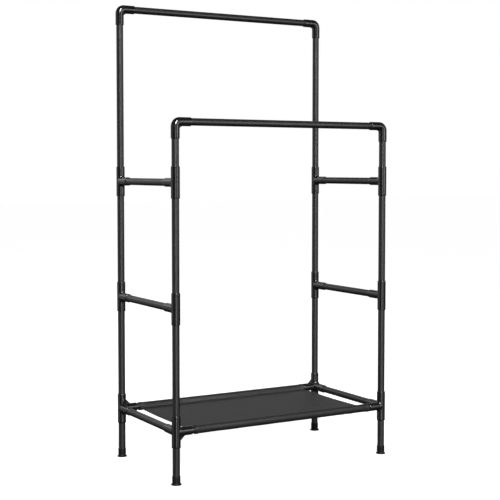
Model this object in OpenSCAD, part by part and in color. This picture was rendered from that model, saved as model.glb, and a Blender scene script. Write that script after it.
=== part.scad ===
// Two-height garment rail: a push-fit frame of round tube, with two hanging rails, three levels
// of side rails, a fabric shelf near the floor and a cap on each leg.
// Millimetres, +Z up. The origin is on the floor, midway between the four posts.
// X runs along the hanging rails, and -Y is the front, the side of the lower hanging rail.

/* [Frame] */
// Distance between the left and right post axes
post_spacing_x = 844; // [600:1:1200]
// Distance between the front and rear post axes
post_spacing_y = 443; // [300:1:700]
// Height of the shelf rails' axes
shelf_level = 178; // [150:1:300]
// Height of the middle side rails' axes
middle_level = 588; // [480:1:700]
// Height of the upper side rails' axes
upper_level = 1007; // [880:1:1060]
// Height of the front hanging rail's axis
front_rail_level = 1207; // [1200:1:1400]
// Height of the rear hanging rail's axis
rear_rail_level = 1625; // [1500:1:1900]

/* [Tube] */
// Outer diameter of every tube
tube_d = 25; // [20:1:28]
// Wall thickness of every tube
tube_wall = 1; // [0.8:0.1:2]

/* [Connectors] */
// Wall of a connector's socket
socket_wall = 2.4; // [1.8:0.1:3]
// Radial clearance between a tube and its socket
socket_gap = 0.1; // [0.05:0.05:0.3]
// Half the height of the sleeve that joins two post tubes
sleeve_half = 53; // [45:1:60]
// Distance from the post axis to the mouth of a side rail's socket
side_reach = 69; // [50:1:80]
// Distance from the post axis to the mouth of a shelf rail's socket
shelf_reach = 57; // [50:1:80]
// Distance from an elbow's axes to the mouth of either of its sockets
elbow_reach = 56; // [45:1:70]
// Radius of the web in an elbow's inner corner
elbow_web_r = 12; // [6:1:14]
// Leg length of the triangular webs on the corner connectors
corner_web = 17; // [8:1:20]
// Thickness of all webs
web_t = 5; // [3:0.5:8]

/* [Fabric shelf] */
// Thickness of the shelf cloth
cloth_t = 1.2; // [0.8:0.1:2]
// Height of the shelf rails' axes above the flat part of the cloth
cloth_drop = 4; // [0:0.5:6]
// Bare tube between the left sockets and the cloth
cloth_gap_left = 10; // [1:1:12]
// Bare tube between the cloth and the right sockets
cloth_gap_right = 2; // [1:1:12]

/* [Feet] */
// Diameter of a foot's flange
foot_d = 36; // [36:1:50]
// Height of a foot
foot_h = 30; // [20:1:40]
// Thickness of a foot's flange
foot_flange_t = 3; // [2:0.5:4]
// Thickness of a foot's floor under the tube
foot_floor = 4; // [3:0.5:8]
// Wall of a foot's sleeve
foot_wall = 1.4; // [1.2:0.1:2.5]
// Radius of the hollow curve between a foot's flange and its sleeve
foot_flare_r = 5; // [2:1:8]

/* [Hidden] */
// Posts: name, direction from the middle in X and Y, side of the shelf branches that has webs
// (1 above, -1 below, 0 no webs)
POSTS = [
    ["front_left", -1, -1, -1],
    ["front_right", 1, -1, 0],
    ["rear_left", -1, 1, 1],
    ["rear_right", 1, 1, 1],
];
SIDES = [["left", -1], ["right", 1]];
ENDS = [["front", -1, front_rail_level], ["rear", 1, rear_rail_level]];
LEVELS = [["lower", shelf_level], ["middle", middle_level], ["upper", upper_level]];

socket_bore_r = tube_d / 2 + socket_gap;
socket_r = socket_bore_r + socket_wall;
// Bend radius of an elbow's centre line, a little over the radius of its socket
elbow_bend = socket_r + 1;
// Chamfer on the outer rim of each socket
mouth_chamfer = 0.8;
// Half the thickness of the wall that stops the two post tubes inside a sleeve
sleeve_stop = 3;
// Distance from a post axis to the end of the bore in a branch or an elbow's leg
branch_stop = 18;
// Gap between a tube's end and the stop in its socket
end_gap = 0.5;
// How far a web reaches into the wall that it stands on
web_root = 1.5;
// Extra length that carries a cut clear of the surface it leaves
cut = 1;
// Gap between the cloth sleeves and the shelf rails
cloth_fit = 0.3;
// Straight pieces in the flare of a foot
flare_steps = 8;

$fn = 64;

NODES = concat(
    [for (p = POSTS, part = ["foot", "leg_tube", "corner_connector", "lower_post",
        "middle_tee", "middle_post", "upper_tee", "upper_post", "elbow"]) str(p[0], "_", part)],
    [for (s = SIDES, l = LEVELS) str(s[0], "_", l[0], "_side_rail")],
    [for (e = ENDS) str(e[0], "_shelf_rail")],
    [for (e = ENDS) str(e[0], "_hanging_rail")],
    ["fabric_shelf"]
);
node = "all";

function wanted(name) = node == "all" || node == name;
// Level of the hanging rail at the front (-1) or the rear (1)
function hanging_level(side_y) = side_y < 0 ? front_rail_level : rear_rail_level;

// ---- shapes shared by several sub-parts ----

// Tube on the Z axis between two heights
module tube(z_low, z_high) {
    translate([0, 0, z_low]) difference() {
        cylinder(h = z_high - z_low, d = tube_d);
        translate([0, 0, -cut]) cylinder(h = z_high - z_low + 2 * cut, d = tube_d - 2 * tube_wall);
    }
}

// Outside of a socket: from the origin along +Z, with a chamfered mouth at reach
module socket_body(reach) {
    cylinder(h = reach - mouth_chamfer, r = socket_r);
    translate([0, 0, reach - mouth_chamfer])
        cylinder(h = mouth_chamfer, r1 = socket_r, r2 = socket_r - mouth_chamfer);
}

// Bore of a socket, from the tube's stop out through the mouth
module socket_bore(reach, stop) {
    translate([0, 0, stop]) cylinder(h = reach - stop + cut, r = socket_bore_r);
}

module turn_to_x() rotate([0, 90, 0]) children();
module turn_to_y() rotate([-90, 0, 0]) children();
module turn_down() mirror([0, 0, 1]) children();

// Upright sleeve with a socket at each end
module sleeve_body() {
    socket_body(sleeve_half);
    turn_down() socket_body(sleeve_half);
}

module sleeve_bores() {
    socket_bore(sleeve_half, sleeve_stop);
    turn_down() socket_bore(sleeve_half, sleeve_stop);
}

// Triangular web in the angle between the +X and +Z directions
module corner_web_xz() {
    rotate([90, 0, 0]) linear_extrude(web_t, center = true)
        translate([socket_r, socket_r]) polygon([
            [-web_root, -web_root], [corner_web, -web_root], [corner_web, 0],
            [0, corner_web], [-web_root, corner_web],
        ]);
}

// Moves a canonical piece, made for the left front post, to the post p
module at_post(p, level) {
    translate([p[1] * post_spacing_x / 2, p[2] * post_spacing_y / 2, level])
        mirror([p[1] > 0 ? 1 : 0, 0, 0]) mirror([0, p[2] > 0 ? 1 : 0, 0]) children();
}

// ---- sub-parts ----

// Pressed-on cap: flat round flange, hollow flare and a sleeve round the end of the leg
module foot(p) {
    sleeve_r = socket_bore_r + foot_wall;
    flare_r = min(foot_flare_r, foot_d / 2 - sleeve_r - 1);
    flare = [for (i = [0:flare_steps]) let (a = 90 * i / flare_steps)
        [sleeve_r + flare_r * (1 - sin(a)), foot_flange_t + flare_r * (1 - cos(a))]];
    color("#171717") at_post(p, 0) difference() {
        rotate_extrude() polygon(concat(
            [[0, 0], [foot_d / 2 - mouth_chamfer, 0], [foot_d / 2, mouth_chamfer],
                [foot_d / 2, foot_flange_t]],
            flare,
            [[sleeve_r, foot_h - mouth_chamfer], [sleeve_r - mouth_chamfer, foot_h], [0, foot_h]]
        ));
        socket_bore(foot_h, foot_floor);
    }
}

module leg_tube(p) {
    color("#262626") at_post(p, 0) tube(foot_floor, shelf_level - sleeve_stop - end_gap);
}

module lower_post(p) {
    color("#262626") at_post(p, 0)
        tube(shelf_level + sleeve_stop + end_gap, middle_level - sleeve_stop - end_gap);
}

module middle_post(p) {
    color("#262626") at_post(p, 0)
        tube(middle_level + sleeve_stop + end_gap, upper_level - sleeve_stop - end_gap);
}

module upper_post(p) {
    color("#262626") at_post(p, 0)
        tube(upper_level + sleeve_stop + end_gap, hanging_level(p[2]) - branch_stop - end_gap);
}

// Four-way connector: post tubes above and below, a shelf rail and a side rail
module corner_connector(p) {
    color("#1c1c1c") at_post(p, shelf_level) difference() {
        union() {
            sleeve_body();
            turn_to_x() socket_body(shelf_reach);
            turn_to_y() socket_body(side_reach);
            if (p[3] != 0) mirror([0, 0, p[3] < 0 ? 1 : 0]) {
                corner_web_xz();
                rotate([0, 0, 90]) corner_web_xz();
            }
        }
        sleeve_bores();
        turn_to_x() socket_bore(shelf_reach, branch_stop);
        turn_to_y() socket_bore(side_reach, branch_stop);
    }
}

// Three-way connector: post tubes above and below and a side rail
module tee(p, level) {
    color("#1c1c1c") at_post(p, level) difference() {
        union() {
            sleeve_body();
            turn_to_y() socket_body(side_reach);
        }
        sleeve_bores();
        turn_to_y() socket_bore(side_reach, branch_stop);
    }
}

// Right-angle connector from the top of a post to the end of a hanging rail
module elbow(p) {
    leg = elbow_reach - elbow_bend;
    color("#1c1c1c") at_post(p, hanging_level(p[2])) difference() {
        union() {
            translate([elbow_bend, 0, 0]) turn_to_x() socket_body(leg);
            translate([0, 0, -elbow_bend]) turn_down() socket_body(leg);
            translate([elbow_bend, 0, -elbow_bend]) rotate([90, 0, 0]) rotate([0, 0, 90])
                rotate_extrude(angle = 90) translate([elbow_bend, 0]) circle(r = socket_r);
            elbow_web();
        }
        turn_to_x() socket_bore(elbow_reach, branch_stop);
        turn_down() socket_bore(elbow_reach, branch_stop);
    }
}

// Web with a hollow edge in the inner corner of an elbow
module elbow_web() {
    side = elbow_web_r + web_root;
    centre = socket_r + elbow_web_r;
    rotate([90, 0, 0]) linear_extrude(web_t, center = true) difference() {
        translate([socket_r - web_root, -centre]) square(side);
        translate([centre, -centre]) circle(r = elbow_web_r);
    }
}

module side_rail(side_x, level) {
    half = post_spacing_y / 2 - branch_stop - end_gap;
    color("#262626") translate([side_x * post_spacing_x / 2, 0, level]) turn_to_y() tube(-half, half);
}

module long_rail(side_y, level) {
    half = post_spacing_x / 2 - branch_stop - end_gap;
    color("#262626") translate([0, side_y * post_spacing_y / 2, level]) turn_to_x() tube(-half, half);
}

// Flat cloth with a sleeve along its front and rear edges, round the two shelf rails
module fabric_shelf() {
    x_left = -post_spacing_x / 2 + shelf_reach + cloth_gap_left;
    x_right = post_spacing_x / 2 - shelf_reach - cloth_gap_right;
    width = x_right - x_left;
    bore_r = tube_d / 2 + cloth_fit;
    color("#333333") translate([x_left, 0, shelf_level]) difference() {
        union() {
            for (e = ENDS) translate([0, e[1] * post_spacing_y / 2, 0])
                turn_to_x() cylinder(h = width, r = bore_r + cloth_t);
            translate([0, -post_spacing_y / 2, -cloth_drop - cloth_t / 2])
                cube([width, post_spacing_y, cloth_t]);
        }
        for (e = ENDS) translate([-cut, e[1] * post_spacing_y / 2, 0])
            turn_to_x() cylinder(h = width + 2 * cut, r = bore_r);
    }
}

for (p = POSTS) {
    if (wanted(str(p[0], "_foot"))) foot(p);
    if (wanted(str(p[0], "_leg_tube"))) leg_tube(p);
    if (wanted(str(p[0], "_corner_connector"))) corner_connector(p);
    if (wanted(str(p[0], "_lower_post"))) lower_post(p);
    if (wanted(str(p[0], "_middle_tee"))) tee(p, middle_level);
    if (wanted(str(p[0], "_middle_post"))) middle_post(p);
    if (wanted(str(p[0], "_upper_tee"))) tee(p, upper_level);
    if (wanted(str(p[0], "_upper_post"))) upper_post(p);
    if (wanted(str(p[0], "_elbow"))) elbow(p);
}
for (s = SIDES, l = LEVELS)
    if (wanted(str(s[0], "_", l[0], "_side_rail"))) side_rail(s[1], l[1]);
for (e = ENDS) {
    if (wanted(str(e[0], "_shelf_rail"))) long_rail(e[1], shelf_level);
    if (wanted(str(e[0], "_hanging_rail"))) long_rail(e[1], e[2]);
}
if (wanted("fabric_shelf")) fabric_shelf();
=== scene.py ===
"""Garment rail: its looks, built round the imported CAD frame.

Everything is in metres in the CAD's own frame: the origin is on the floor midway between the posts,
X runs along the hanging rails, -Y is the front and +Z is up. The tubes are the CAD's own. The moulded
connectors, the foot caps, the shelf cloth and its stitching are built here and stand for CAD nodes.
"""
import math

import bmesh
import bpy
import numpy as np
from mathutils import Matrix, Vector, noise

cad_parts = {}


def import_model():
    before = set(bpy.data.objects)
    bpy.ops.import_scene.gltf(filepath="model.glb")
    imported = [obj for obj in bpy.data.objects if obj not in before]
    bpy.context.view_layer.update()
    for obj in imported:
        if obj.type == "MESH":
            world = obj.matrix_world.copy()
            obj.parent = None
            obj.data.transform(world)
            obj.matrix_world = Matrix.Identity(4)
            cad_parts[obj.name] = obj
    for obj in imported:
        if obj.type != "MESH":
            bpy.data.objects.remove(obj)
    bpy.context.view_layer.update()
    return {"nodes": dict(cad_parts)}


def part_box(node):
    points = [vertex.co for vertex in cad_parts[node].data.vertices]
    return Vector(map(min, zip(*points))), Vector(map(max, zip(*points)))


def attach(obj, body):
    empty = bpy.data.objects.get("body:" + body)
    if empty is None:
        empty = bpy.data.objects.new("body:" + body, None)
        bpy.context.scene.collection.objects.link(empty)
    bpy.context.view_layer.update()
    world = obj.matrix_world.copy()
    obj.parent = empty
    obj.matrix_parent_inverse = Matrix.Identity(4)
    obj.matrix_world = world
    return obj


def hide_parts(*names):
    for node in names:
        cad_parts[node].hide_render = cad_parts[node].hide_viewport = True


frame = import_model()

MM = 0.001

# ---- sizes read from the frame ----

POSTS = {"front_left": (-1, -1), "front_right": (1, -1), "rear_left": (-1, 1), "rear_right": (1, 1)}
ENDS = {"front": -1, "rear": 1}


def middle(node):
    """Centre of a CAD node's box."""
    low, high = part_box(node)
    return (low + high) / 2


def post_axis(post):
    """X and Y of a post's axis."""
    centre = middle(post + "_lower_post")
    return Vector((centre.x, centre.y, 0))


SHELF_LEVEL = middle("left_lower_side_rail").z
MIDDLE_LEVEL = middle("left_middle_side_rail").z
UPPER_LEVEL = middle("left_upper_side_rail").z
RAIL_LEVEL = {end: middle(end + "_hanging_rail").z for end in ENDS}

tube_low, tube_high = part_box("left_middle_side_rail")
TUBE_R = (tube_high.x - tube_low.x) / 2

corner_low, corner_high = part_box("front_left_corner_connector")
corner_post = post_axis("front_left")
SOCKET_R = corner_post.x - corner_low.x
SLEEVE_HALF = (corner_high.z - corner_low.z) / 2
SHELF_REACH = corner_high.x - corner_post.x
SIDE_REACH = corner_high.y - corner_post.y
ELBOW_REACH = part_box("front_left_elbow")[1].x - corner_post.x

# ---- moulded connectors: a distance field, meshed and given modelled mouths ----

BORE_R = TUBE_R + 0.1 * MM
SLEEVE_STOP = 3 * MM
BRANCH_STOP = 18 * MM
LIP_R = 1.0 * MM
BEND_R = SOCKET_R + 1 * MM
CROTCH_FILLET = 5 * MM
WEB_FILLET = 1.6 * MM
WEB_T = 5 * MM
WEB_EDGE_R = 1.0 * MM
CORNER_WEB = 17 * MM
ELBOW_WEB_R = 12 * MM
# Webs end this far from the pipes' axes, out of sight inside them
WEB_ROOT_R = SOCKET_R - 4 * MM
MOUTH_CHAMFER = 0.3 * MM
# Edges that turn by more than this many degrees are shaded sharp
SHARP_ANGLE = 40
# Each field is meshed out to its cut, which is past every fillet and web. Rings go on from there
TEE_CUT = SOCKET_R + 9 * MM
CORNER_CUT = SOCKET_R + CORNER_WEB + 4 * MM
ELBOW_CUT = SOCKET_R + ELBOW_WEB_R + 4 * MM
NET_STEP = 1.4 * MM
NET_MARGIN = 4 * NET_STEP
RING_STEP = 6 * MM
# Points this near a cutting plane count as on it
CUT_SNAP = 0.2 * MM
# A smooth minimum of this width for each unit of fillet radius comes closest to a round fillet
FILLET_WIDTH = 1.17

# Whether each corner connector's webs are above its branches (1), below them (-1) or absent (0)
WEB_SIDES = {"front_left": -1, "front_right": 0, "rear_left": 1, "rear_right": 1}

X, Y, Z = np.eye(3)


def unit(vectors):
    """Each row scaled to length 1. A row of zeros stays as it is."""
    return vectors / np.maximum(np.linalg.norm(vectors, axis=1), 1e-12)[:, None]


def pipe(points, nearest):
    """Distance to a round pipe whose centre line's nearest points are given, and its direction."""
    away = points - nearest
    return np.linalg.norm(away, axis=1) - SOCKET_R, unit(away)


def leg(points, axis, start=None):
    """A straight leg along axis from start on, or both ways without one."""
    along = points @ axis
    if start is not None:
        along = np.maximum(along, start)
    return pipe(points, along[:, None] * axis)


def bend(points):
    """The elbow's leg along +X, its quarter turn and its leg down -Z, as one pipe."""
    centre = BEND_R * (X - Z)
    spoke = points - centre
    spoke[:, 1] = 0
    on_arc = centre + unit(spoke) * BEND_R
    on_x = np.maximum(points[:, :1], BEND_R) * X
    on_z = np.minimum(points[:, 2:], -BEND_R) * Z
    nearer_x = np.linalg.norm(points - on_x, axis=1) < np.linalg.norm(points - on_z, axis=1)
    on_legs = np.where(nearer_x[:, None], on_x, on_z)
    turning = (points[:, 0] < BEND_R) & (points[:, 2] > -BEND_R)
    return pipe(points, np.where(turning[:, None], on_arc, on_legs))


def plate(points, edge, edge_direction, side, limits):
    """A web: a flat plate square to side whose outline's distance is edge, with rounded rims.
    limits are (distance, direction) pairs that end it inside the pipes."""
    across = points @ side
    q = np.stack([edge + WEB_EDGE_R, np.abs(across) - WEB_T / 2 + WEB_EDGE_R], 1)
    ways = np.stack([edge_direction, np.sign(across)[:, None] * side], 1)
    outer = np.maximum(q, 0)
    rim = np.linalg.norm(outer, axis=1)
    flat = q.argmax(1)
    distance = rim + np.minimum(q.max(1), 0) - WEB_EDGE_R
    direction = np.where((rim > 0)[:, None], unit((outer[:, :, None] * ways).sum(1)),
                         ways[np.arange(len(points)), flat])
    for far, way in limits:
        direction = np.where((far > distance)[:, None], way, direction)
        distance = np.maximum(distance, far)
    return distance, direction


def corner_web(points, out, up, side):
    """Triangular web in the angle between a branch along out and the post along up."""
    x, z = points @ out, points @ up
    edge = (x + z - 2 * SOCKET_R - CORNER_WEB) / math.sqrt(2)
    edge_direction = np.tile((out + up) / math.sqrt(2), (len(points), 1))
    limits = [(WEB_ROOT_R - x, -out), (WEB_ROOT_R - z, -up)]
    return plate(points, edge, edge_direction, side, limits)


def elbow_web(points):
    """Web with a hollow edge in the elbow's inner corner."""
    reach = SOCKET_R + ELBOW_WEB_R
    spoke = points - reach * (X - Z)
    spoke[:, 1] = 0
    edge = ELBOW_WEB_R - np.linalg.norm(spoke, axis=1)
    x, z = points[:, 0], -points[:, 2]
    limits = [(WEB_ROOT_R - x, -X), (WEB_ROOT_R - z, Z), (x - reach, X), (z - reach, -Z)]
    return plate(points, edge, -unit(spoke), Y, limits)


def join(a, b, fillet):
    """Union of two shapes, with a fillet where they meet at an angle and none where they run alike."""
    (far_a, way_a), (far_b, way_b) = a, b
    alike = np.clip((way_a * way_b).sum(1), -1, 1) ** 2
    width = FILLET_WIDTH * fillet * (1 - alike) + 1e-9
    share = np.clip(0.5 + 0.5 * (far_b - far_a) / width, 0, 1)
    distance = far_b * (1 - share) + far_a * share - width * share * (1 - share)
    return distance, unit(way_b * (1 - share[:, None]) + way_a * share[:, None])


def tee_field(points):
    """Upright sleeve with a branch along +Y."""
    return join(leg(points, Z), leg(points, Y, 0), CROTCH_FILLET)


def corner_field(web_side):
    """Sleeve with branches along +X and +Y. web_side is 1 for webs above them, -1 below, 0 for none."""
    def field(points):
        shape = join(tee_field(points), leg(points, X, 0), CROTCH_FILLET)
        if web_side:
            for out, side in ((X, Y), (Y, X)):
                shape = join(shape, corner_web(points, out, web_side * Z, side), WEB_FILLET)
        return shape
    return field


def elbow_field(points):
    """The bent pipe with its web."""
    return join(bend(points), elbow_web(points), WEB_FILLET)


def settle(points, field, rounds=6):
    """Moves points onto the field's surface."""
    for _ in range(rounds):
        distance, direction = field(points)
        points = points - distance[:, None] * direction
    return points


def surface_net(field, low, high):
    """A quad mesh of the field's surface inside a box, evened out and on the true surface."""
    axes = [np.arange(a, b, NET_STEP) for a, b in zip(low, high)]
    grid = np.stack(np.meshgrid(*axes, indexing="ij"), -1)
    value = field(grid.reshape(-1, 3))[0].reshape(grid.shape[:3])
    cells = np.array(value.shape) - 1

    def shifted(offset):
        return value[tuple(slice(o, o + n) for o, n in zip(offset, cells))]

    total = np.zeros((*cells, 3))
    hits = np.zeros(cells)
    for axis in range(3):
        for corner in range(4):
            start = np.roll([0, corner & 1, corner >> 1], axis)
            step = np.roll([1, 0, 0], axis)
            a, b = shifted(start), shifted(start + step)
            crosses = (a < 0) != (b < 0)
            t = np.where(crosses, a / np.where(crosses, a - b, 1), 0)
            total += crosses[..., None] * (start + t[..., None] * step)
            hits += crosses
    used = hits > 0
    number = np.full(cells, -1)
    number[used] = np.arange(used.sum())
    points = np.array(low) + NET_STEP * (np.argwhere(used) + total[used] / hits[used][:, None])

    inside = value < 0
    quads = []
    for axis in range(3):
        u, v = (np.roll([1, 0, 0], axis + i) for i in (1, 2))
        near, far = [slice(1, -1)] * 3, [slice(1, -1)] * 3
        near[axis], far[axis] = slice(None, -1), slice(1, None)
        near, far = inside[tuple(near)], inside[tuple(far)]
        at = np.argwhere(near != far) + u + v
        ring = np.stack([number[tuple((at - back).T)] for back in (u + v, v, 0 * u, u)], 1)
        quads.append(np.where(near[near != far][:, None], ring, ring[:, ::-1]))
    quads = np.concatenate(quads)
    return relaxed(settle(points, field), quads, field), quads


def relaxed(points, quads, field, rounds=8):
    """Evens the spacing of the points, keeping them on the surface."""
    pairs = np.concatenate([quads[:, [i, (i + 1) % 4]] for i in range(4)])
    pairs = np.concatenate([pairs, pairs[:, ::-1]])
    count = np.bincount(pairs[:, 0], minlength=len(points))[:, None]
    for _ in range(rounds):
        sums = [np.bincount(pairs[:, 0], points[pairs[:, 1], i], len(points)) for i in range(3)]
        points = settle((points + np.stack(sums, 1) / count) / 2, field, 2)
    return points


def arc(centre, radius, start, end, steps):
    """Points of an arc in a plane, angles in degrees."""
    angles = np.radians(np.linspace(start, end, steps + 1))
    return [(centre[0] + radius * math.cos(a), centre[1] + radius * math.sin(a)) for a in angles]


def mouth_profile(cut, reach, stop):
    """(radius, distance) of each ring of a socket: its outside from the cut on, its lip and its bore."""
    count = math.ceil((reach - LIP_R - cut) / RING_STEP)
    outside = [(SOCKET_R, d) for d in np.linspace(cut, reach - LIP_R, count + 1)[1:-1]]
    lip = arc((SOCKET_R - LIP_R, reach - LIP_R), LIP_R, 0, 90, 4)
    bore = [(BORE_R + MOUTH_CHAMFER, reach), (BORE_R, reach - MOUTH_CHAMFER), (BORE_R, stop)]
    return outside + lip + bore


def add_socket(bm, direction, cut, reach, stop):
    """Carries the open edge of a leg, cut square, on to its mouth and down its bore to the stop."""
    u = np.roll(direction, 1)
    v = np.cross(direction, u)
    rim = [w for w in bm.verts if w.is_boundary and abs(np.dot(w.co, direction) - cut) < 2 * CUT_SNAP]
    angles = {w: math.atan2(np.dot(w.co, v), np.dot(w.co, u)) for w in rim}
    rim.sort(key=angles.get)
    spokes = [math.cos(angles[w]) * u + math.sin(angles[w]) * v for w in rim]
    for w, spoke in zip(rim, spokes):
        w.co = cut * direction + SOCKET_R * spoke
    for radius, distance in mouth_profile(cut, reach, stop):
        ring = [bm.verts.new(distance * direction + radius * spoke) for spoke in spokes]
        for i in range(len(ring)):
            bm.faces.new((rim[i - 1], rim[i], ring[i], ring[i - 1]))
        rim = ring
    bm.faces.new(rim)


def moulding(name, field, sockets, parting):
    """A connector about its own origin. sockets are (direction, cut, reach, stop), and parting is the
    direction square to the plane in which the mould opens."""
    low = -np.full(3, SOCKET_R + NET_MARGIN)
    high = -low
    for direction, cut, _, _ in sockets:
        low = np.minimum(low, direction * (cut + NET_MARGIN))
        high = np.maximum(high, direction * (cut + NET_MARGIN))
    points, quads = surface_net(field, low, high)
    bm = bmesh.new()
    verts = [bm.verts.new(p) for p in points]
    for quad in quads:
        bm.faces.new([verts[i] for i in quad])
    for direction, cut, _, _ in sockets:
        bmesh.ops.bisect_plane(bm, geom=bm.verts[:] + bm.edges[:] + bm.faces[:], dist=CUT_SNAP,
                               plane_co=direction * cut, plane_no=direction, clear_outer=True)
    for socket in sockets:
        add_socket(bm, *socket)
    mesh = bpy.data.meshes.new(name)
    bm.to_mesh(mesh)
    bm.free()
    return finished_mesh(mesh, parting)


def finished_mesh(mesh, parting):
    """Smooth shading with crisp edges, and each point's distance from the parting plane in mm."""
    mesh.shade_smooth()
    mesh.set_sharp_from_angle(angle=math.radians(SHARP_ANGLE))
    co = np.zeros(len(mesh.vertices) * 3)
    mesh.vertices.foreach_get("co", co)
    off_plane = co.reshape(-1, 3) @ parting / MM
    mesh.attributes.new("parting", "FLOAT", "POINT").data.foreach_set("value", off_plane)
    return mesh


def shown(name, mesh, material, slot, *replaced):
    """A finished piece of the object on the frame's one body."""
    piece = bpy.data.objects.new(name, mesh)
    bpy.context.scene.collection.objects.link(piece)
    mesh.materials.clear()
    mesh.materials.append(material)
    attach(piece, "root")
    if replaced:
        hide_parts(*replaced)
    return piece


def at_post(mesh, name, post, level):
    """A copy of a piece made for the left front post, mirrored for its own post."""
    side_x, side_y = POSTS[post]
    made = mesh.copy()
    made.name = name
    place = post_axis(post) + Vector((0, 0, level))
    made.transform(Matrix.Translation(place) @ Matrix.Diagonal((-side_x, -side_y, 1, 1)))
    if side_x * side_y < 0:
        made.flip_normals()
    return made


def tee():
    return moulding("tee", tee_field, [
        (Z, TEE_CUT, SLEEVE_HALF, SLEEVE_STOP),
        (-Z, TEE_CUT, SLEEVE_HALF, SLEEVE_STOP),
        (Y, TEE_CUT, SIDE_REACH, BRANCH_STOP),
    ], X)


def corner(web_side):
    return moulding("corner", corner_field(web_side), [
        (Z, CORNER_CUT, SLEEVE_HALF, SLEEVE_STOP),
        (-Z, CORNER_CUT, SLEEVE_HALF, SLEEVE_STOP),
        (Y, CORNER_CUT, SIDE_REACH, BRANCH_STOP),
        (X, CORNER_CUT, SHELF_REACH, BRANCH_STOP),
    ], X)


def elbow():
    return moulding("elbow", elbow_field, [
        (X, ELBOW_CUT, ELBOW_REACH, BRANCH_STOP),
        (-Z, ELBOW_CUT, ELBOW_REACH, BRANCH_STOP),
    ], Y)


def connectors(material):
    """A corner, two tees and an elbow on each post."""
    tee_mesh = tee()
    corner_meshes = {side: corner(side) for side in (-1, 0, 1)}
    elbow_mesh = elbow()
    for post in POSTS:
        made = [
            ("corner_connector", corner_meshes[WEB_SIDES[post]], SHELF_LEVEL),
            ("middle_tee", tee_mesh, MIDDLE_LEVEL),
            ("upper_tee", tee_mesh, UPPER_LEVEL),
            ("elbow", elbow_mesh, RAIL_LEVEL[post.split("_")[0]]),
        ]
        for part, mesh, level in made:
            name = f"{post}_{part}_moulding"
            shown(name, at_post(mesh, name, post, level), material, "connector", f"{post}_{part}")


# ---- foot caps ----

foot_low, foot_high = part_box("front_left_foot")
# A hair smaller than the CAD foot, to stay inside its box
FOOT_R = (foot_high.x - foot_low.x) / 2 - 0.01 * MM
FOOT_H = foot_high.z
FOOT_WALL_R = BORE_R + 1.4 * MM
FOOT_FLOOR = 4 * MM
FOOT_FLANGE_T = 3 * MM
FOOT_RECESS_R = 11 * MM
FOOT_RECESS_H = 0.8 * MM
FOOT_RECESS_SLOPE = 0.6 * MM
FOOT_EDGE_R = 1.1 * MM
FOOT_RIM_R = 0.7 * MM
FOOT_LIP_R = 0.6 * MM
FOOT_CHAMFER_R = 0.2 * MM
FOOT_CHAMFER_H = 0.3 * MM
FOOT_SEGMENTS = 72


def foot_profile():
    """Outline of a foot cap in radius and height, from the middle of its underside to that of its floor."""
    flare_r = FOOT_R - FOOT_RIM_R - FOOT_WALL_R
    flare_top = FOOT_FLANGE_T + flare_r
    wall_top = FOOT_H - FOOT_LIP_R
    underside = [(0, FOOT_RECESS_H), (FOOT_RECESS_R, FOOT_RECESS_H), (FOOT_RECESS_R + FOOT_RECESS_SLOPE, 0)]
    edge = arc((FOOT_R - FOOT_EDGE_R, FOOT_EDGE_R), FOOT_EDGE_R, -90, 0, 4)
    rim = arc((FOOT_R - FOOT_RIM_R, FOOT_FLANGE_T - FOOT_RIM_R), FOOT_RIM_R, 0, 90, 3)
    flare = arc((FOOT_R - FOOT_RIM_R, flare_top), flare_r, -100, -180, 7)
    wall = [(FOOT_WALL_R, h) for h in np.linspace(flare_top, wall_top, 5)[1:-1]]
    lip = arc((FOOT_WALL_R - FOOT_LIP_R, wall_top), FOOT_LIP_R, 0, 90, 3)
    bore = [(BORE_R + FOOT_CHAMFER_R, FOOT_H), (BORE_R, FOOT_H - FOOT_CHAMFER_H), (BORE_R, FOOT_FLOOR)]
    return underside + edge + rim + flare + wall + lip + bore + [(0, FOOT_FLOOR)]


def lathed(name, profile, segments):
    """Solid of revolution about +Z. The profile starts and ends on the axis and runs outside first."""
    bm = bmesh.new()
    turns = [2 * math.pi * i / segments for i in range(segments)]
    rings = [
        [bm.verts.new((r * math.cos(a), r * math.sin(a), h)) for a in turns]
        for r, h in profile[1:-1]
    ]
    for low, high in zip(rings, rings[1:]):
        for i in range(segments):
            bm.faces.new((low[i - 1], low[i], high[i], high[i - 1]))
    for ring, pole, facing in ((rings[0], profile[0], -1), (rings[-1], profile[-1], 1)):
        tip = bm.verts.new((0, 0, pole[1]))
        for i in range(segments):
            bm.faces.new((ring[i - 1], ring[i], tip)[::facing])
    mesh = bpy.data.meshes.new(name)
    bm.to_mesh(mesh)
    bm.free()
    return finished_mesh(mesh, X)


def feet(material):
    """A cap under each post."""
    cap = lathed("foot", foot_profile(), FOOT_SEGMENTS)
    for post in POSTS:
        name = post + "_foot_cap"
        shown(name, at_post(cap, name, post, 0), material, "foot", post + "_foot")


# ---- shelf cloth: one sheet, with a sleeve for each shelf rail sewn along its front and rear ----

CLOTH_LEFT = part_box("fabric_shelf")[0].x
CLOTH_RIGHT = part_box("fabric_shelf")[1].x
SHELF_RAIL_Y = middle("rear_shelf_rail").y
CLOTH_T = 1.2 * MM
# The panel's middle surface lies this far below the rails' axes at the sewn lines
PANEL_DROP = 4 * MM
# The sleeve's middle surface lies this far from the rail's axis
SLEEVE_R = TUBE_R + 0.2 * MM + CLOTH_T / 2
# The sewn line, measured from the rail's axis towards the middle of the shelf
SEAM_IN = 17 * MM
ALLOWANCE = 12 * MM
LAYER_GAP = CLOTH_T + 0.1 * MM
HEM = 13 * MM
HEM_EXTRA_T = 1.0 * MM
HEM_STEP = 0.5 * MM
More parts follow.
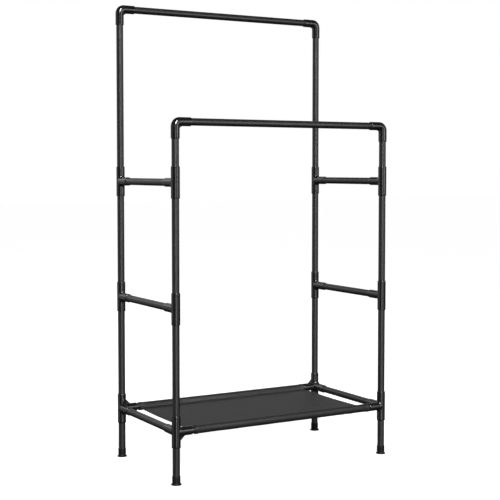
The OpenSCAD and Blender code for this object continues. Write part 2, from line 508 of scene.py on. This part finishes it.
# Heights of the sheet's uneven shape: the sag of its panel, the slack under the rails, the pucker
SAG = 4 * MM
WIDE_RIPPLE = 0.9 * MM
SMALL_RIPPLE = 0.25 * MM
SLACK = 0.45 * MM
PUCKER = 0.35 * MM
PUCKER_REACH = 9 * MM
# The panel sags this share less at its hems than in the middle
HEM_STIFFNESS = 0.3
EDGE_ROUND = 1.1 * MM
CREASE_R = 2 * MM
PATH_STEP = 0.5 * MM
STITCH = 2.5 * MM
STITCH_PITCH = 3.4 * MM
SEAM_ROWS = (3 * MM, 8 * MM)
HEM_ROW = 3 * MM
THREAD_R = 0.32 * MM
THREAD_SIDES = 6


def tangent_angle(point, side):
    """Angle in degrees where a line from an outer point (in, up) touches the sleeve's circle."""
    turn = side * math.acos(SLEEVE_R / math.hypot(*point))
    return math.degrees(math.atan2(point[1], point[0]) + turn)


def cloth_path():
    """The sheet's cross-section: evenly stepped points (y, z) with soft creases, the distance along the
    sheet of each, and the distances of the sleeve's two edges at the sewn line.
    It runs from the free edge of the front allowance, under the panel, round below and in front of the
    rail, back over it to the sewn line and across the panel. The rear half mirrors the front half."""
    top_seam = (SEAM_IN, -PANEL_DROP)
    low_seam = (SEAM_IN, -PANEL_DROP - LAYER_GAP)
    free_edge = (SEAM_IN + ALLOWANCE, low_seam[1])
    around = arc((0, 0), SLEEVE_R, tangent_angle(low_seam, -1), tangent_angle(top_seam, 1) - 360, 60)
    front = [(inward - SHELF_RAIL_Y, up) for inward, up in [free_edge, low_seam] + around + [top_seam]]
    corners = np.array(front + [(-y, z) for y, z in front[::-1]])
    lengths = np.concatenate([[0], np.cumsum(np.linalg.norm(np.diff(corners, axis=0), axis=1))])
    along = np.linspace(0, lengths[-1], round(lengths[-1] / PATH_STEP) + 1)
    path = np.stack([np.interp(along, lengths, corners[:, i]) for i in (0, 1)], 1)
    reach = round(CREASE_R / PATH_STEP)
    padded = np.pad(path, ((reach, reach), (0, 0)), "reflect", reflect_type="odd")
    kernel = np.ones(2 * reach + 1) / (2 * reach + 1)
    path = np.stack([np.convolve(padded[:, i], kernel, "valid") for i in (0, 1)], 1)
    return path, along, lengths[1], lengths[len(front) - 1]


CLOTH_PATH, CLOTH_ALONG, LOW_SEAM, TOP_SEAM = cloth_path()
CLOTH_LENGTH = CLOTH_ALONG[-1]
CLOTH_WIDTH = CLOTH_RIGHT - CLOTH_LEFT


def ripple(x, s, per_x, per_s, seed):
    """Smooth seeded unevenness over the sheet, from about -1 to 1."""
    points = np.stack([x * per_x, s * per_s, np.full(x.shape, seed)], -1).reshape(-1, 3)
    return np.array([noise.noise(Vector(p)) for p in points]).reshape(x.shape)


def sleeve_lift(x, s, from_edge):
    """How far a sleeve stands off its rail: close on top, looser below, and puckered along its seam."""
    marks = [LOW_SEAM, LOW_SEAM + 12 * MM, LOW_SEAM + 45 * MM, TOP_SEAM - 20 * MM]
    below = np.interp(from_edge, marks, [0, 1, 1, 0])
    lift = below * SLACK * (1 + ripple(x, s, 16, 25, 3.1))
    pucker = np.exp(-np.abs(from_edge - TOP_SEAM) / PUCKER_REACH) * (from_edge > LOW_SEAM + 12 * MM)
    return lift + pucker * PUCKER * ripple(x, s, 105, 20, 8.7)


def panel_sag(x, y, s):
    """How far the panel hangs below its sewn lines."""
    half_span = SHELF_RAIL_Y - SEAM_IN
    across = np.clip(1 - (y / half_span) ** 2, 0, 1)
    even = 1 - HEM_STIFFNESS * (2 * (x - CLOTH_LEFT) / CLOTH_WIDTH - 1) ** 2
    uneven = WIDE_RIPPLE * ripple(x, s, 5, 5, 1.3) + SMALL_RIPPLE * ripple(x, s, 18, 18, 5.5)
    return across * (SAG * even + uneven)


def faces_off_middle(from_side, from_edge):
    """How far the inner and outer faces lie from the sheet's middle. Hems are folded double: outwards on
    the sleeves, downwards under the panel."""
    hem = HEM_EXTRA_T * np.interp(from_side, [HEM - HEM_STEP, HEM + HEM_STEP], [1, 0])
    marks = [LOW_SEAM, LOW_SEAM + 6 * MM, TOP_SEAM - 6 * MM, TOP_SEAM]
    inner = -CLOTH_T / 2 + hem * np.interp(from_edge, marks, [1, 0, 0, -1])
    outer = CLOTH_T / 2 + hem * np.interp(from_edge, marks, [2, 1, 1, 0])
    return inner, outer


def on_cloth(x, s, side):
    """Points on the sheet's outer face (side 1) or inner face (-1), and their outward directions.
    x is the place along the rails and s the distance along the cross-section."""
    y, z = (np.interp(s, CLOTH_ALONG, CLOTH_PATH[:, i]) for i in (0, 1))
    slope = unit(np.gradient(CLOTH_PATH, axis=0))
    slope_y, slope_z = (np.interp(s, CLOTH_ALONG, slope[:, i]) for i in (0, 1))
    from_edge = np.minimum(s, CLOTH_LENGTH - s)
    from_side = np.minimum(x - CLOTH_LEFT, CLOTH_RIGHT - x)

    inner, outer = faces_off_middle(from_side, from_edge)
    round_in = np.clip(1 - np.minimum(from_side, from_edge + 0.3 * MM) / EDGE_ROUND, 0, 0.95)
    face = (outer + inner) / 2 + side * (outer - inner) / 2 * np.sqrt(1 - round_in ** 2)
    lift = sleeve_lift(x, s, from_edge) + face

    out = np.stack([np.zeros(x.shape), -slope_z, slope_y], -1)
    points = np.stack([x, y, SHELF_LEVEL + z - panel_sag(x, y, s)], -1) + lift[..., None] * out
    return points, out


def side_stations():
    """Places along the rails where the sheet has points: close at the hems, wider between."""
    near = np.array([0, 0.12, 0.4, 0.8, 1.2, 4, 8, 12, 12.5, 13, 13.5, 14]) * MM
    count = round((CLOTH_WIDTH - 2 * near[-1]) / (6 * MM))
    between = np.linspace(near[-1], CLOTH_WIDTH - near[-1], count + 1)[1:-1]
    return CLOTH_LEFT + np.concatenate([near, between, CLOTH_WIDTH - near[::-1]])


def length_stations():
    """Distances along the sheet where it has points: close round the sleeves, wider on the panel."""
    front = [0.0]
    while front[-1] < CLOTH_LENGTH / 2:
        past_seam = max(0, front[-1] - TOP_SEAM - 2 * MM)
        front.append(front[-1] + min(1.4 * MM + 0.12 * past_seam, 6.5 * MM))
    front = np.array(front) * (CLOTH_LENGTH / 2 / front[-1])
    return np.concatenate([front, CLOTH_LENGTH - front[-2::-1]])


def cloth_mesh():
    """Both faces of the sheet and its closed edges, with a map in metres along the weave."""
    x, s = np.meshgrid(side_stations(), length_stations(), indexing="ij")
    rows, columns = x.shape
    count = rows * columns
    points = np.concatenate([on_cloth(x, s, side)[0].reshape(-1, 3) for side in (1, -1)])
    number = np.arange(count).reshape(rows, columns)
    a, b, c, d = number[:-1, :-1], number[1:, :-1], number[1:, 1:], number[:-1, 1:]
    outer = np.stack([a, b, c, d], -1).reshape(-1, 4)
    rim = np.concatenate([number[:-1, 0], number[-1, :-1], number[:0:-1, -1], number[0, :0:-1]])
    following = np.roll(rim, -1)
    edge = np.stack([rim, rim + count, following + count, following], -1)
    faces = np.concatenate([outer, outer[:, ::-1] + count, edge])
    mesh = bpy.data.meshes.new("shelf_cloth")
    mesh.from_pydata(points.tolist(), [], faces.tolist())
    mesh.shade_smooth()
    flat = np.tile(np.stack([x - CLOTH_LEFT, s], -1).reshape(-1, 2), (2, 1))
    corners = np.zeros(len(mesh.loops), int)
    mesh.loops.foreach_get("vertex_index", corners)
    mesh.uv_layers.new(name="weave").data.foreach_set("uv", flat[corners].ravel())
    return mesh


def stitch_rows():
    """(x, s, along x or s) of every stitch that shows: two rows through each allowance, seen from above
    and below, and one row round each hem."""
    inset = HEM + 2 * MM
    xs = np.arange(CLOTH_LEFT + inset, CLOTH_RIGHT - inset, STITCH_PITCH)
    lengths = np.arange(HEM_ROW, CLOTH_LENGTH - HEM_ROW, STITCH_PITCH)
    rows = []
    for step in SEAM_ROWS:
        for seam in (TOP_SEAM + step, LOW_SEAM - step):
            for s in (seam, CLOTH_LENGTH - seam):
                rows.append((xs, np.full(xs.shape, s), (1, 0)))
    for x in (CLOTH_LEFT + HEM - HEM_ROW, CLOTH_RIGHT - HEM + HEM_ROW):
        rows.append((np.full(lengths.shape, x), lengths, (0, 1)))
    return rows


def thread_ring(x, s, along, share, thickness, height):
    """A ring of points round the thread of every stitch in a row, at a share of the stitch's length."""
    turns = 2 * math.pi * np.arange(THREAD_SIDES) / THREAD_SIDES
    in_x, in_s = along
    centre, out = on_cloth(x + in_x * share * STITCH, s + in_s * share * STITCH, 1)
    ahead, _ = on_cloth(x + in_x * MM, s + in_s * MM, 1)
    behind, _ = on_cloth(x - in_x * MM, s - in_s * MM, 1)
    sideways = unit(np.cross(out, ahead - behind))
    centre = centre + height * THREAD_R * out
    radius = thickness * THREAD_R
    return (centre[:, None] + radius * np.cos(turns)[None, :, None] * sideways[:, None]
            + radius * np.sin(turns)[None, :, None] * out[:, None])


def stitching_mesh():
    """Each stitch is a short round thread whose ends dive into the cloth."""
    # Share of the stitch's length from its middle, thickness and height, both in thread radii
    stations = [(-0.5, 0.3, -0.5), (-0.32, 1, 0.55), (0.32, 1, 0.55), (0.5, 0.3, -0.5)]
    points, faces, start = [], [], 0
    for x, s, along in stitch_rows():
        block = np.stack([thread_ring(x, s, along, *station) for station in stations], 1)
        number = start + np.arange(block.shape[0] * block.shape[1] * THREAD_SIDES).reshape(block.shape[:3])
        turned = np.roll(number, -1, axis=2)
        walls = np.stack([number[:, :-1], turned[:, :-1], turned[:, 1:], number[:, 1:]], -1)
        faces += walls.reshape(-1, 4).tolist()
        faces += number[:, 0, ::-1].tolist() + number[:, -1].tolist()
        points.append(block.reshape(-1, 3))
        start += number.size
    mesh = bpy.data.meshes.new("shelf_stitching")
    mesh.from_pydata(np.concatenate(points).tolist(), [], faces)
    mesh.shade_smooth()
    return mesh


def shelf(cloth_material, thread_material):
    """The cloth with its stitches: one sheet with its hems and seam allowances."""
    cloth = shown("shelf_cloth", cloth_mesh(), cloth_material, "cloth", "fabric_shelf")
    stitching = shown("shelf_stitching", stitching_mesh(), thread_material, "cloth")


# ---- materials ----

WEAVE_PITCH = 0.9 * MM


class Nodes:
    """A material's node tree, with short ways to add nodes to it."""

    def __init__(self, name):
        self.material = bpy.data.materials.new(name)
        self.material.use_nodes = True
        self.tree = self.material.node_tree
        self.shader = self.tree.nodes["Principled BSDF"]

    def add(self, kind, values=None, **settings):
        """A node with settings on the node itself and values, or sockets to link, on its inputs."""
        node = self.tree.nodes.new("ShaderNode" + kind)
        for key, value in settings.items():
            setattr(node, key, value)
        self.feed(node, values or {})
        return node

    def feed(self, node, values):
        """Links each socket among values to the node's input of that name, and sets the rest."""
        for key, value in values.items():
            if isinstance(value, bpy.types.NodeSocket):
                self.tree.links.new(value, node.inputs[key])
            else:
                node.inputs[key].default_value = value

    def place(self):
        """Coordinates in the row frame, in metres."""
        return self.add("TexCoord").outputs["Object"]

    def noise(self, per_metre, detail=3, roughness=0.55, vector=None):
        """Noise from 0 to 1, with about per_metre features to the metre."""
        vector = vector or self.place()
        values = {"Vector": vector, "Scale": per_metre, "Detail": detail, "Roughness": roughness}
        return self.add("TexNoise", values).outputs["Fac"]

    def span(self, value, low, high, to_low, to_high, smooth=False):
        """value's range low to high, mapped to another."""
        kind = "SMOOTHSTEP" if smooth else "LINEAR"
        values = {"Value": value, "From Min": low, "From Max": high, "To Min": to_low, "To Max": to_high}
        return self.add("MapRange", values, interpolation_type=kind).outputs["Result"]

    def maths(self, operation, a, b=0.0):
        return self.add("Math", {0: a, 1: b}, operation=operation).outputs[0]

    def mix(self, share, a, b):
        """Colour b over a by share."""
        return self.add("MixRGB", {"Fac": share, "Color1": a, "Color2": b}).outputs["Color"]

    def bump(self, height, distance, strength=1.0, normal=None):
        """Relief of a 0 to 1 height, distance metres deep, over another one if normal is given."""
        values = {"Height": height, "Distance": distance, "Strength": strength}
        if normal:
            values["Normal"] = normal
        return self.add("Bump", values).outputs["Normal"]

    def finish(self, **values):
        """Sets the shader's inputs, named with _ for each space, and gives the material."""
        self.feed(self.shader, {key.replace("_", " "): value for key, value in values.items()})
        return self.material


def grey(value):
    """A neutral colour from its linear reflectance."""
    return (value, value, value, 1)


def powder_coat():
    """Baked black powder coat on steel tube: fine peel, specks and a soft, slightly uneven sheen."""
    n = Nodes("black_powder_coat")
    peel = n.noise(900, 2)
    drift = n.noise(14, 3)
    specks = n.noise(2600, 2, 0.6)
    colour = n.mix(n.span(drift, 0.3, 0.7, 0, 1), grey(0.005), grey(0.0065))
    colour = n.mix(n.span(specks, 0.62, 0.72, 0, 0.35), colour, grey(0.012))
    return n.finish(
        Base_Color=colour,
        Roughness=n.span(drift, 0.3, 0.7, 0.34, 0.37),
        Specular_IOR_Level=0.8,
        Normal=n.bump(specks, 0.005 * MM, 1, n.bump(peel, 0.01 * MM)),
    )


def moulded_plastic(name, dark, light, rough, shine):
    """Black injection-moulded plastic: spark-eroded grain, and a faint line where the mould opened.
    dark and light bound its reflectance, rough is near its mean roughness, shine is its specular level."""
    n = Nodes(name)
    grain = n.noise(1300, 2, 0.6)
    drift = n.noise(45, 3)
    off_line = n.maths("ABSOLUTE", n.add("Attribute", attribute_name="parting").outputs["Fac"])
    line = n.span(off_line, 0.12, 0.3, 1, 0, smooth=True)  # in mm from the parting plane
    colour = n.mix(n.span(drift, 0.3, 0.7, 0, 1), grey(dark), grey(light))
    colour = n.mix(n.span(grain, 0.6, 0.75, 0, 0.3), colour, grey(3 * light))
    return n.finish(
        Base_Color=colour,
        Roughness=n.span(grain, 0.3, 0.7, rough - 0.05, rough + 0.07),
        Specular_IOR_Level=shine,
        Normal=n.bump(grain, 0.06 * MM, 1, n.bump(line, 0.12 * MM)),
    )


def woven_cloth():
    """Black plain-woven synthetic cloth: each thread crossing is a small pillow with painted shade in the
    hollows between them, and the dye is uneven.
    """
    n = Nodes("black_woven_cloth")
    weave = n.add("UVMap", uv_map="weave").outputs["UV"]
    split = n.add("SeparateXYZ", {"Vector": weave})
    turns = [n.maths("MULTIPLY", split.outputs[axis], math.pi / WEAVE_PITCH) for axis in "XY"]
    crossing = n.maths("MULTIPLY", *[n.maths("SINE", turn) for turn in turns])
    pillow = n.maths("POWER", n.maths("ABSOLUTE", crossing), 0.6)
    along_threads = n.add("VectorMath", {0: weave, 1: (1, 5, 1)}, operation="MULTIPLY").outputs[0]
    slub = n.noise(120, 3, 0.6, along_threads)
    fuzz = n.noise(1500, 2, 0.6)
    drift = n.noise(7, 3)
    colour = n.mix(n.span(drift, 0.3, 0.7, 0, 1), grey(0.008), grey(0.010))
    colour = n.mix(n.span(slub, 0.35, 0.7, 0, 0.5), colour, grey(0.012))
    # Painted shade: the colour darkens in the hollows between the thread crossings
    colour = n.mix(n.span(pillow, 0, 0.5, 0.5, 0), colour, grey(0.004))
    return n.finish(
        Base_Color=colour,
        Roughness=0.45,
        Specular_IOR_Level=0.4,
        Normal=n.bump(pillow, 0.15 * MM, 0.8, n.bump(fuzz, 0.08 * MM, 0.6)),
    )


def thread():
    """Twisted black sewing thread."""
    n = Nodes("black_thread")
    twist = n.noise(2500, 2)
    colour = n.mix(twist, grey(0.02), grey(0.05))
    return n.finish(Base_Color=colour, Roughness=0.7, Normal=n.bump(twist, 0.1 * MM))


# ---- light, floor and camera ----

# The camera looks towards +Y, turned to +X by its yaw and down by its pitch, in degrees
CAMERA_PLACE = Vector((-2.114, -3.610, 1.050))
CAMERA_YAW = 30.25
CAMERA_PITCH = 3.02
CAMERA_LENS = 82.7
CAMERA_SHIFT_Y = -0.040
CAMERA_FAR = 50
AIM = Vector((0, 0, 0.8))
KEY_AIM = Vector((0, 0, -0.1))
FLOOR_HALF = 30
FLOOR_GLOW = 0.975
WORLD_GREY = 0.05


def camera():
    data = bpy.data.cameras.new("camera")
    data.lens = CAMERA_LENS
    data.shift_y = CAMERA_SHIFT_Y
    data.clip_end = CAMERA_FAR
    made = bpy.data.objects.new("camera", data)
    made.location = CAMERA_PLACE
    made.rotation_euler = [math.radians(a) for a in (90 - CAMERA_PITCH, 0, -CAMERA_YAW)]
    bpy.context.scene.collection.objects.link(made)
    bpy.context.scene.camera = made


def softbox(name, azimuth, elevation, distance, width, height, power, aim=AIM, spread=180):
    """Rectangular light that faces aim, at a distance from AIM, that the camera doesn't see. Azimuth is
    counted to the right of the camera's own. Angles and spread are in degrees, and power is in watts."""
    data = bpy.data.lights.new(name, "AREA")
    data.shape = "RECTANGLE"
    data.size = width
    data.size_y = height
    data.energy = power
    data.spread = math.radians(spread)
    made = bpy.data.objects.new(name, data)
    turn = math.radians(azimuth - CAMERA_YAW - 90)
    lift = math.radians(elevation)
    towards = Vector((math.cos(turn) * math.cos(lift), math.sin(turn) * math.cos(lift), math.sin(lift)))
    made.location = AIM + distance * towards
    made.rotation_euler = (aim - made.location).to_track_quat("-Z", "Y").to_euler()
    made.visible_camera = False
    bpy.context.scene.collection.objects.link(made)


def lights():
    """The key gives the posts their stripe, the panels the connectors' bands, and back the cloth's grey."""
    softbox("key", 9, 31, 8, 1.7, 4.8, 98, KEY_AIM, spread=40)
    for name, azimuth, elevation, distance, width, height, power in [
        ("strip", 12, -8, 6, 1.0, 3.2, 36),
        ("right_spot", 60, 10, 5, 1.4, 2.0, 26),
        ("right_panel", 50, 0, 5, 3.6, 4.4, 24),
        ("left_strip", -78, 0, 5, 1.4, 4.4, 14),
        ("left_panel", -118, 6, 5, 4.6, 4.4, 15),
        ("left_spot", -120, 22, 5, 2.0, 1.8, 6),
        ("right_fill", 122, 14, 5, 2.4, 3.0, 16),
        ("rear_fill", -140, 16, 5, 2.4, 3.0, 12),
        ("back", 180, 20, 6, 5, 2.4, 23),
    ]:
        softbox(name, azimuth, elevation, distance, width, height, power)


def world():
    """White behind the object, and a dim even grey for the light it gives."""
    made = bpy.data.worlds.new("studio")
    made.use_nodes = True
    tree = made.node_tree
    background = tree.nodes["Background"]
    background.inputs["Color"].default_value = grey(WORLD_GREY)
    white = tree.nodes.new("ShaderNodeBackground")
    white.inputs["Color"].default_value = grey(1)
    seen = tree.nodes.new("ShaderNodeLightPath")
    pick = tree.nodes.new("ShaderNodeMixShader")
    tree.links.new(seen.outputs["Is Camera Ray"], pick.inputs["Fac"])
    tree.links.new(background.outputs[0], pick.inputs[1])
    tree.links.new(white.outputs[0], pick.inputs[2])
    tree.links.new(pick.outputs[0], tree.nodes["World Output"].inputs["Surface"])
    bpy.context.scene.world = made


def studio_floor():
    """Pale floor that glows like a light table, so that it shows almost no shadow or horizon."""
    n = Nodes("pale_floor")
    drift = n.noise(2, 3)
    material = n.finish(
        Base_Color=n.mix(drift, grey(0.30), grey(0.34)),
        Roughness=0.8,
        Specular_IOR_Level=0.0,
        Emission_Color=grey(1),
        Emission_Strength=FLOOR_GLOW,
    )
    mesh = bpy.data.meshes.new("floor")
    corners = [(x * FLOOR_HALF, y * FLOOR_HALF, 0) for x, y in ((-1, -1), (1, -1), (1, 1), (-1, 1))]
    mesh.from_pydata(corners, [], [(0, 1, 2, 3)])
    mesh.materials.append(material)
    floor = bpy.data.objects.new("floor", mesh)
    bpy.context.scene.collection.objects.link(floor)
    floor.visible_glossy = False
    floor.visible_diffuse = False
    floor.visible_shadow = False


def view_settings():
    """Plain colours, with no film curve."""
    view = bpy.context.scene.view_settings
    view.view_transform = "Standard"
    view.look = "None"


def tubes(material):
    """The CAD's own tubes, with a material of their own."""
    for node in frame["nodes"].values():
        if node.name.endswith(("_tube", "_post", "_rail")):
            node.data.materials.clear()
            node.data.materials.append(material)


tubes(powder_coat())
connectors(moulded_plastic("moulded_connector_plastic", dark=0.003, light=0.004, rough=0.18, shine=0.9))
feet(moulded_plastic("moulded_foot_plastic", dark=0.004, light=0.006, rough=0.42, shine=0.22))
shelf(woven_cloth(), thread())
camera()
lights()
world()
studio_floor()
view_settings()
